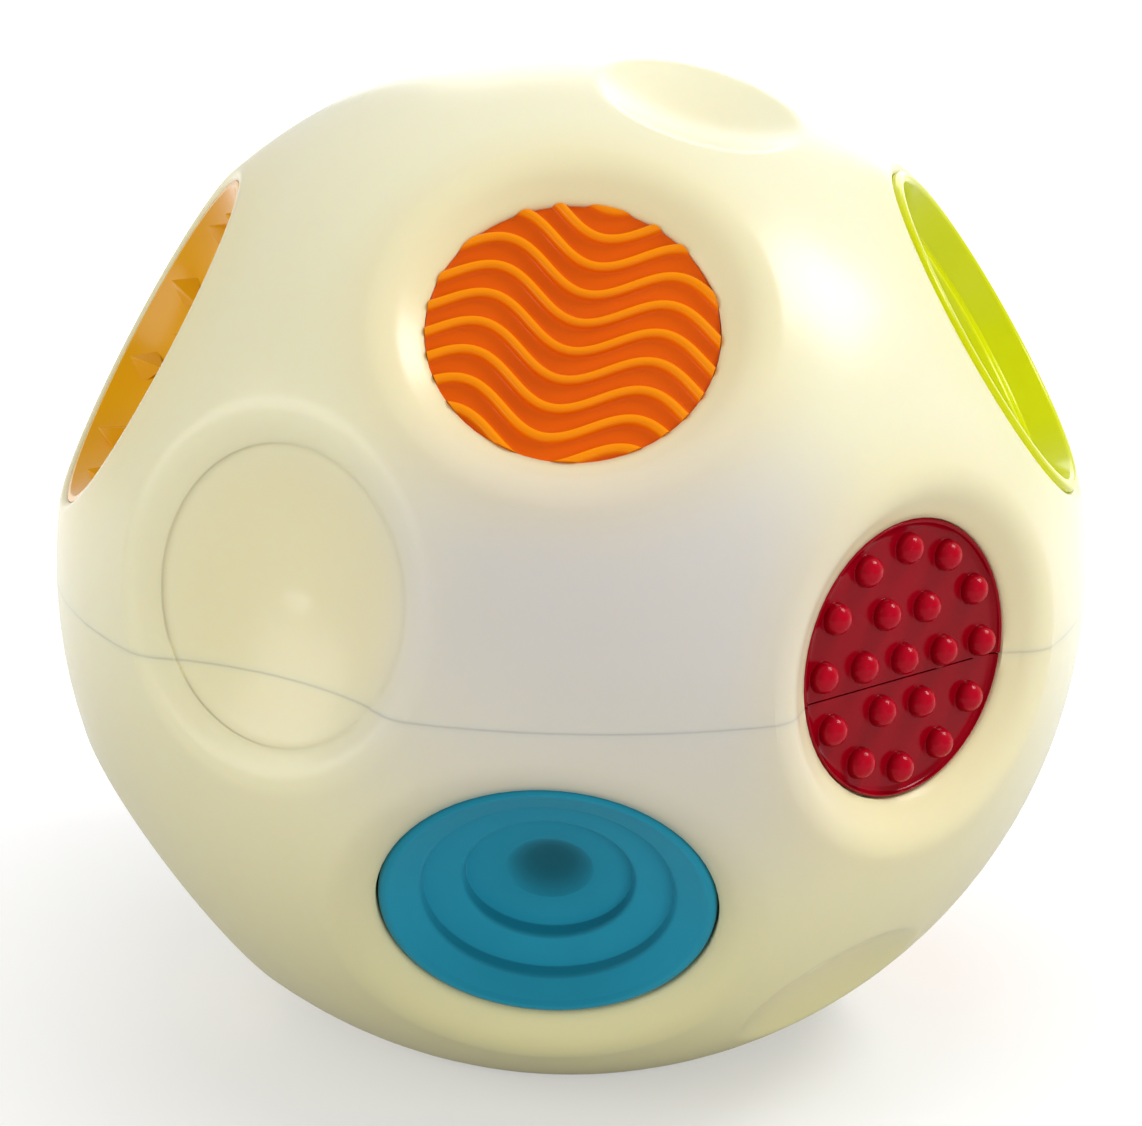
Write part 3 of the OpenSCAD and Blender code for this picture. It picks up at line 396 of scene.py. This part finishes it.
# Meshes, in mm along a dimple's own axis
def rounded(points, step=12.0):
    """The profile with each corner (r, z, radius) turned into an arc."""
    out = []
    for i, p in enumerate(points):
        here = Vector(p[:2])
        rad = p[2] if len(p) > 2 else 0
        if not rad or i in (0, len(points) - 1):
            out.append(here)
            continue
        a, b = Vector(points[i - 1][:2]) - here, Vector(points[i + 1][:2]) - here
        room = min(a.length, b.length) * 0.49
        a.normalize()
        b.normalize()
        half = a.angle(b) / 2
        cut = min(rad / math.tan(half), room)
        rad = cut * math.tan(half)
        mid = here + (a + b).normalized() * (rad / math.sin(half))
        start, end = here + a * cut - mid, here + b * cut - mid
        turn = start.angle(end)
        n = max(2, math.ceil(math.degrees(turn) / step))
        sign = 1 if start.x * end.y - start.y * end.x > 0 else -1
        for k in range(n + 1):
            t = sign * turn * k / n
            out.append(mid + Vector((start.x * math.cos(t) - start.y * math.sin(t),
                                     start.x * math.sin(t) + start.y * math.cos(t))))
    return out


def arc(centre_z, radius, r_from, r_to, n):
    """Points on the lower half of a sphere on the axis, from one distance off it to another."""
    out = []
    for i in range(n + 1):
        r = r_from + (r_to - r_from) * i / n
        out.append((r, centre_z - math.sqrt(radius * radius - r * r)))
    return out


def revolve(bm, profile, segments=160, at=(0, 0)):
    """Adds a surface of revolution; a point on the axis closes it."""
    rings = []
    for r, z in profile:
        if r < 1e-6:
            rings.append([bm.verts.new((at[0], at[1], z))])
        else:
            rings.append([bm.verts.new((at[0] + r * math.cos(2 * math.pi * k / segments),
                                        at[1] + r * math.sin(2 * math.pi * k / segments), z))
                          for k in range(segments)])
    for a, b in zip(rings, rings[1:]):
        for k in range(segments):
            j = (k + 1) % segments
            if len(a) == 1 and len(b) == 1:
                continue
            if len(a) == 1:
                bm.faces.new((a[0], b[k], b[j]))
            elif len(b) == 1:
                bm.faces.new((a[k], b[0], a[j]))
            else:
                bm.faces.new((a[k], b[k], b[j], a[j]))


def finish_piece(bm, name, place, nodes, slot, rise=None, body="ball", smooth=35, mesh=None):
    """Makes the object, in place in the row frame, and ties it to its body."""
    if mesh is None:
        bmesh.ops.recalc_face_normals(bm, faces=bm.faces)
        mesh = bpy.data.meshes.new(name)
        bm.to_mesh(mesh)
        bm.free()
    # The rise attribute holds height from 0 to 1; the materials read it for painted highlights and painted
    # shade.
    if rise:
        at = mesh.attributes.new("rise", "FLOAT", "POINT")
        for v, d in zip(mesh.vertices, at.data):
            d.value = min(1, max(0, (v.co.z - rise[0]) / (rise[1] - rise[0])))
    mesh.transform(placed(place))
    for p in mesh.polygons:
        p.use_smooth = True
    obj = bpy.data.objects.new(name, mesh)
    bpy.context.scene.collection.objects.link(obj)
    mesh.materials.append(MATS[slot])
    mesh.set_sharp_from_angle(angle=math.radians(smooth))
    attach(obj, body)
    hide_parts(*nodes)
    return obj


def wave_piece(name, place, node):
    """Disc with wavy ridges: a sheet that follows the waves, made solid and cut round."""
    pitch, length, swing, width, high, turn = 4.3, 23.0, 5.5, 1.2, 1.0, math.radians(-13.5)
    across = [0, 0.2, 0.38, 0.52, 0.64, 0.75, 0.88, 1.1, 1.5]
    lift = [1, 0.97, 0.88, 0.74, 0.54, 0.32, 0.13, 0.03, 0]
    offs, ups = [], []
    for i in range(-7, 8):
        for d, u in list(zip([-v for v in across], lift))[::-1] + list(zip(across, lift))[1:]:
            offs.append(i * pitch + d)
            ups.append(u)
    low = DISC_EDGE - 0.5
    bm = bmesh.new()
    columns = []
    n = 110
    for j in range(n + 1):
        x = -21 + 42 * j / n
        y0 = -swing / 2 * math.cos(2 * math.pi * x / length)
        slope = swing / 2 * 2 * math.pi / length * math.sin(2 * math.pi * x / length)
        stretch = math.sqrt(1 + slope * slope)
        column = []
        for o, u in zip(offs, ups):
            row = round(o / pitch) * pitch
            y = y0 + row + (o - row) * (1 + (stretch - 1) * (1 if abs(o - row) < 1.2 else 0))
            dish = -0.25 * (1 - min(1, (x * x + y * y) / DISC_R ** 2))
            px, py = x * math.cos(turn) - y * math.sin(turn), x * math.sin(turn) + y * math.cos(turn)
            column.append(bm.verts.new((px, py, low + u * high + dish)))
        columns.append(column)
    for a, b in zip(columns, columns[1:]):
        for k in range(len(a) - 1):
            bm.faces.new((a[k], b[k], b[k + 1], a[k + 1]))
    edge = [c[0] for c in columns] + columns[-1][1:] + [c[-1] for c in columns[-2::-1]] + columns[0][-2:0:-1]
    under = [bm.verts.new((v.co.x, v.co.y, DISC_FLOOR)) for v in edge]
    for k in range(len(edge)):
        j = (k + 1) % len(edge)
        bm.faces.new((edge[k], under[k], under[j], edge[j]))
    bm.faces.new(under)
    bmesh.ops.recalc_face_normals(bm, faces=bm.faces)
    block_mesh = bpy.data.meshes.new(name + "_block")
    bm.to_mesh(block_mesh)
    bm.free()
    block = bpy.data.objects.new(name + "_block", block_mesh)
    bm = bmesh.new()
    revolve(bm, [(0, DISC_EDGE + 2), (DISC_R, DISC_EDGE + 2), (DISC_R, DISC_FLOOR + 0.01),
                 (0, DISC_FLOOR + 0.01)], 200)
    bmesh.ops.recalc_face_normals(bm, faces=bm.faces)
    cut_mesh = bpy.data.meshes.new(name + "_cut")
    bm.to_mesh(cut_mesh)
    bm.free()
    cut = bpy.data.objects.new(name + "_cut", cut_mesh)
    for o in (block, cut):
        bpy.context.scene.collection.objects.link(o)
    mod = block.modifiers.new("cut", "BOOLEAN")
    mod.operation, mod.solver, mod.object = "INTERSECT", "EXACT", cut
    bpy.context.view_layer.update()
    mesh = bpy.data.meshes.new_from_object(block.evaluated_get(bpy.context.evaluated_depsgraph_get()))
    for o in (block, cut):
        bpy.data.objects.remove(o)
    mesh.materials.clear()
    return finish_piece(None, name, place, [node], "orange_disc", rise=(low - 0.1, low + high),
                        smooth=40, mesh=mesh)


def stud_halves(place, tag):
    """The stud disc in two halves, one on each side of the seam."""
    plate, gap = DISC_EDGE - 0.85, 0.11
    n = normal(*PLACE[place])
    lo = math.radians(PLACE[place][1])
    up = n.cross(Vector((math.cos(lo), math.sin(lo), 0)))
    head = DISC_EDGE + 1.5
    profile = rounded([(2.6, plate + 0.005), (2.12, plate + 0.03, 0.3), (2.15, head - 2.05)], 12)
    profile += [Vector((2.15 * math.cos(math.radians(a)), head - 2.05 + 2.05 * math.sin(math.radians(a))))
                for a in range(10, 90, 10)] + [Vector((0, head))]
    spots = [(0, 0)]
    spots += [(7.53 * math.cos(math.radians(60 * k - 2.3)), 7.53 * math.sin(math.radians(60 * k - 2.3)))
              for k in range(6)]
    spots += [(14.92 * math.cos(math.radians(30 * k - 1.7)), 14.92 * math.sin(math.radians(30 * k - 1.7)))
              for k in range(12)]
    for side, word in ((1, "upper"), (-1, "lower")):
        bm = bmesh.new()
        shrink = 0 if side > 0 else 0.22
        edge = DISC_R - shrink
        hollow = [(17.1 + 1.2 * math.sin(math.radians(a)), plate + 0.8 * (1 - math.cos(math.radians(a))))
                  for a in range(0, 81, 10)]
        revolve(bm, [(0, plate)] + [(r, plate) for r in (6, 12, 16.4)] + hollow
                + rounded([hollow[-1], (edge - 0.3, DISC_EDGE, 0.2), (edge, DISC_EDGE - 0.3, 0.2),
                           (edge, DISC_FLOOR)])
                + [(0, DISC_FLOOR)], 180)
        # the seam's plane, where row height is nought, written along this disc's own axis
        normal_here = Vector((0, up.z, n.z)) * side
        point = normal_here.normalized() * gap
        cut = bmesh.ops.bisect_plane(bm, geom=bm.verts[:] + bm.edges[:] + bm.faces[:], dist=1e-5,
                                     plane_co=point, plane_no=-normal_here, clear_outer=True)
        edges = [e for e in cut["geom_cut"] if isinstance(e, bmesh.types.BMEdge)]
        bmesh.ops.edgeloop_fill(bm, edges=edges)
        for x, y in spots:
            if (y * up.z + plate * n.z) * side > 0:
                revolve(bm, profile, 36, at=(x, y))
        finish_piece(bm, f"red_studs_{tag}_{word}", place, [f"red_stud_disc_{tag}_{word}"], "red_disc",
                     rise=(plate, DISC_EDGE + 1.5), smooth=50)


def dish_profile(top, inner):
    """Underside and wall of a wide dish, after the points of its inner face."""
    seat = DISH_BOWL + DISH_T
    wall = DISH_CENTRE - math.sqrt(seat ** 2 - WIDE_R ** 2)
    points = inner + rounded([inner[-1], (WIDE_R, top, 0.3), (WIDE_R, wall)])[1:]
    return points + arc(DISH_CENTRE, seat, WIDE_R, 0, 24)[1:]


def pyramid_piece(name, place, node):
    def level(r):
        return DISH_CENTRE - math.sqrt(DISH_BOWL ** 2 - r * r)
    bm = bmesh.new()
    inner = arc(DISH_CENTRE, DISH_BOWL, 0, WIDE_R - 1.15, 30)
    rim = [inner[-1], (WIDE_R - 0.9, DISH_TOP, 0.35), (WIDE_R - 0.3, DISH_TOP)]
    inner += [Vector(p) for p in rounded(rim)[1:]]
    revolve(bm, dish_profile(DISH_TOP, [Vector(p) for p in inner]), 180)
    for ring, count, shift in ((0, 1, 0), (1, 4, 0), (2, 7, 0), (3, 10, 18), (4, 10, 0)):
        r = ring * 5.2
        for k in range(count):
            turn = math.radians(20.8 + shift + 360 * k / count)
            foot = level(r) - 1.6
            apex = Vector((r, 0, foot + 5.0))
            corners = []
            for q in range(4):
                reach = 5.2 / math.sqrt(2)
                far = Vector((r + reach * math.cos(math.pi / 2 * q), reach * math.sin(math.pi / 2 * q), foot))
                t = 1.0
                while t > 0.3:
                    p = apex.lerp(far, t)
                    if p.z > level(min(p.xy.length, WIDE_R - 1)) - 0.35:
                        break
                    t -= 0.02
                corners.append(apex.lerp(far, t))
            spin = Matrix.Rotation(turn, 3, "Z")
            shell = bmesh.new()
            top = shell.verts.new(spin @ apex)
            base = [shell.verts.new(spin @ c) for c in corners]
            for q in range(4):
                shell.faces.new((top, base[q], base[(q + 1) % 4]))
            shell.faces.new(base[::-1])
            bmesh.ops.bevel(shell, geom=[e for e in shell.edges if top in e.verts] + [top], offset=0.16,
                            segments=3, affect="EDGES", profile=0.5)
            part = bpy.data.meshes.new("part")
            shell.to_mesh(part)
            shell.free()
            bm.from_mesh(part)
            bpy.data.meshes.remove(part)
    return finish_piece(bm, name, place, [node], "yellow_disc", smooth=25)


def cup_piece(name, place, node):
    slant, edge, top = 0.25, WIDE_EDGE, WIDE_EDGE + 1.3
    points = []
    for i in range(3, -1, -1):
        level = edge - 3.4 - 1.8 * i
        r = 22.8 - 3.9 * i
        if not points:
            points.append((0, level))
            points.append((r, level, 0.35))
        else:
            points.append((r, level, 0.35))
        up_to = top if i == 0 else level + 1.8
        points.append((r + slant * (up_to - level), up_to, 0.7 if i else 0.8))
    points.append((WIDE_R, top, 0.7))
    points.append((WIDE_R, top - 2))
    inner = rounded(points, 9)
    bm = bmesh.new()
    seat = DISH_BOWL + DISH_T
    revolve(bm, inner + [Vector(p) for p in arc(DISH_CENTRE, seat, WIDE_R, 0, 24)], 200)
    return finish_piece(bm, name, place, [node], "lime_cup", smooth=50)


def pad_piece(name, place, node, body):
    e = PAD_EDGE
    pit = [(0, e - 8.1), (1.6, e - 8.03), (3.2, e - 7.78), (4.6, e - 7.32), (5.35, e - 6.98)]
    shape = [(5.35, e - 6.98), (5.85, e - 6.66, 0.3), (11.2, e - 6.25, 0.25), (11.45, e - 4.45, 0.75),
             (16.65, e - 3.55, 0.25), (16.95, e - 2.0, 0.8), (20.3, e - 0.5, 1.6), (21.2, e + 0.02, 0.8),
             (22.4, e - 0.35, 1.0), (22.4, PAD_BOTTOM, 0.5), (STEM_R, PAD_BOTTOM, 0.3),
             (STEM_R, CLIP_TOP, 0.1), (GROOVE_R, CLIP_TOP, 0.1), (GROOVE_R, CLIP_LOW, 0.1),
             (STEM_R, CLIP_LOW, 0.1), (STEM_R, STEM_END, 0.3), (0, STEM_END)]
    bm = bmesh.new()
    revolve(bm, [Vector(p) for p in pit[:-1]] + rounded(shape, 9), 200)
    return finish_piece(bm, name, place, [node], "blue_pad", rise=(e - 8.2, e), body=body, smooth=60)


wave_piece("orange_waves_front", "orange_front", "orange_wave_disc_front")
wave_piece("orange_waves_back", "orange_back", "orange_wave_disc_back")
stud_halves("red_front", "front")
stud_halves("red_back", "back")
pyramid_piece("yellow_pyramids_left", "yellow_left", "yellow_pyramid_disc_left")
pyramid_piece("yellow_pyramids_right", "yellow_right", "yellow_pyramid_disc_right")
cup_piece("lime_steps", "lime_right", "lime_ring_cup")
pad_piece("blue_terraces_front", "blue_front", "blue_pad_front", "front_pad")
pad_piece("blue_terraces_back", "blue_back", "blue_pad_back", "back_pad")


# Lights, background and floor
def area(name, direction, distance, size, power):
    """A square lamp that faces the ball, at a distance and of a size in metres, and a power in watts."""
    data = bpy.data.lights.new(name, "AREA")
    data.shape = "RECTANGLE"
    data.size, data.size_y = size, size
    data.energy = power
    o = bpy.data.objects.new(name, data)
    bpy.context.scene.collection.objects.link(o)
    d = cam_dir(*direction)
    turn = d.to_track_quat("Z", "Y").to_matrix().to_4x4()
    o.matrix_world = Matrix.Translation(CENTRE + d * distance) @ turn
    return o


area("key_right", (0.67, 0.72, 0.16), 0.9, 0.30, 3.6)
area("side_left", (-0.92, 0.22, 0.36), 0.9, 0.45, 2.2)
area("top_back", (0.13, 0.60, -0.80), 0.9, 0.6, 2.0)
area("front_fill", (0.45, -0.1, 0.9), 1.1, 0.5, 3.0).visible_glossy = False

# World: even light, seen as white by the camera, and by mirror rays where it lies behind the ball
LIGHT, MIRROR_FRONT = 0.5, 0.16
world = bpy.data.worlds.new("studio")
bpy.context.scene.world = world
world.use_nodes = True
wn = world.node_tree
link = wn.links.new


def larger(a, b):
    n = wn.nodes.new("ShaderNodeMath")
    n.operation = "MAXIMUM"
    link(a, n.inputs[0])
    link(b, n.inputs[1])
    return n.outputs[0]


bg = wn.nodes["Background"]
bg.inputs["Color"].default_value = (1, 1, 1, 1)
bg.inputs["Strength"].default_value = LIGHT
white = wn.nodes.new("ShaderNodeBackground")
path = wn.nodes.new("ShaderNodeLightPath").outputs
way = wn.nodes.new("ShaderNodeTexCoord")
dot = wn.nodes.new("ShaderNodeVectorMath")
dot.operation = "DOT_PRODUCT"
link(way.outputs["Generated"], dot.inputs[0])
dot.inputs[1].default_value = -Z0
room = wn.nodes.new("ShaderNodeMapRange")
room.interpolation_type = "SMOOTHSTEP"
link(dot.outputs["Value"], room.inputs["Value"])
room.inputs["From Min"].default_value, room.inputs["From Max"].default_value = -0.35, 0.5
room.inputs["To Min"].default_value, room.inputs["To Max"].default_value = MIRROR_FRONT, 1.0
link(larger(path["Is Camera Ray"], room.outputs["Result"]), white.inputs["Strength"])
mix = wn.nodes.new("ShaderNodeMixShader")
mirror = larger(path["Is Glossy Ray"], path["Is Transmission Ray"])
link(larger(path["Is Camera Ray"], mirror), mix.inputs["Fac"])
link(bg.outputs["Background"], mix.inputs[1])
link(white.outputs["Background"], mix.inputs[2])
link(mix.outputs["Shader"], wn.nodes["World Output"].inputs["Surface"])

# Floor: keeps the ball's shadow, and turns white away from it
FLOOR_HALF, FLOOR_GAP, FLOOR_ALBEDO, FLOOR_NEAR = 3.0, 0.0002, 0.52, 0.42
bm = bmesh.new()
bmesh.ops.create_grid(bm, x_segments=2, y_segments=2, size=FLOOR_HALF)
mesh = bpy.data.meshes.new("floor")
bm.to_mesh(mesh)
bm.free()
floor = bpy.data.objects.new("floor", mesh)
floor.location = (0, 0, -FLOOR_GAP)
bpy.context.scene.collection.objects.link(floor)
fm = Mat("floor", 0.7)
fm.put(Base_Color=(FLOOR_ALBEDO, FLOOR_ALBEDO, FLOOR_ALBEDO, 1))
where = fm.node("ShaderNodeVectorMath", operation="LENGTH")
fm.join(fm.tc.outputs["Object"], where.inputs[0])
seen = fm.node("ShaderNodeLightPath")
parts = fm.node("ShaderNodeSeparateXYZ")
fm.join(fm.tc.outputs["Object"], parts.inputs[0])
behind = fm.math("MULTIPLY_ADD", fm.step(parts.outputs[1], -0.1, 0.3), 0.8, 0.2)
mirrored = fm.math("MAXIMUM", seen.outputs["Is Glossy Ray"], seen.outputs["Is Transmission Ray"])
direct = fm.math("MAXIMUM", seen.outputs["Is Camera Ray"], fm.math("MULTIPLY", mirrored, behind))
glow = fm.node("ShaderNodeMapRange")
fm.join(where.outputs["Value"], glow.inputs["Value"])
glow.inputs["From Min"].default_value, glow.inputs["From Max"].default_value = 0.06, 0.22
glow.inputs["To Min"].default_value, glow.inputs["To Max"].default_value = FLOOR_NEAR, 1.0
fm.join(fm.math("MULTIPLY", direct, glow.outputs["Result"]), fm.b.inputs["Emission Strength"])
fm.put(Emission_Color=(1, 1, 1, 1))
floor.data.materials.append(fm.mat)

bpy.context.scene.view_settings.view_transform = "Standard"
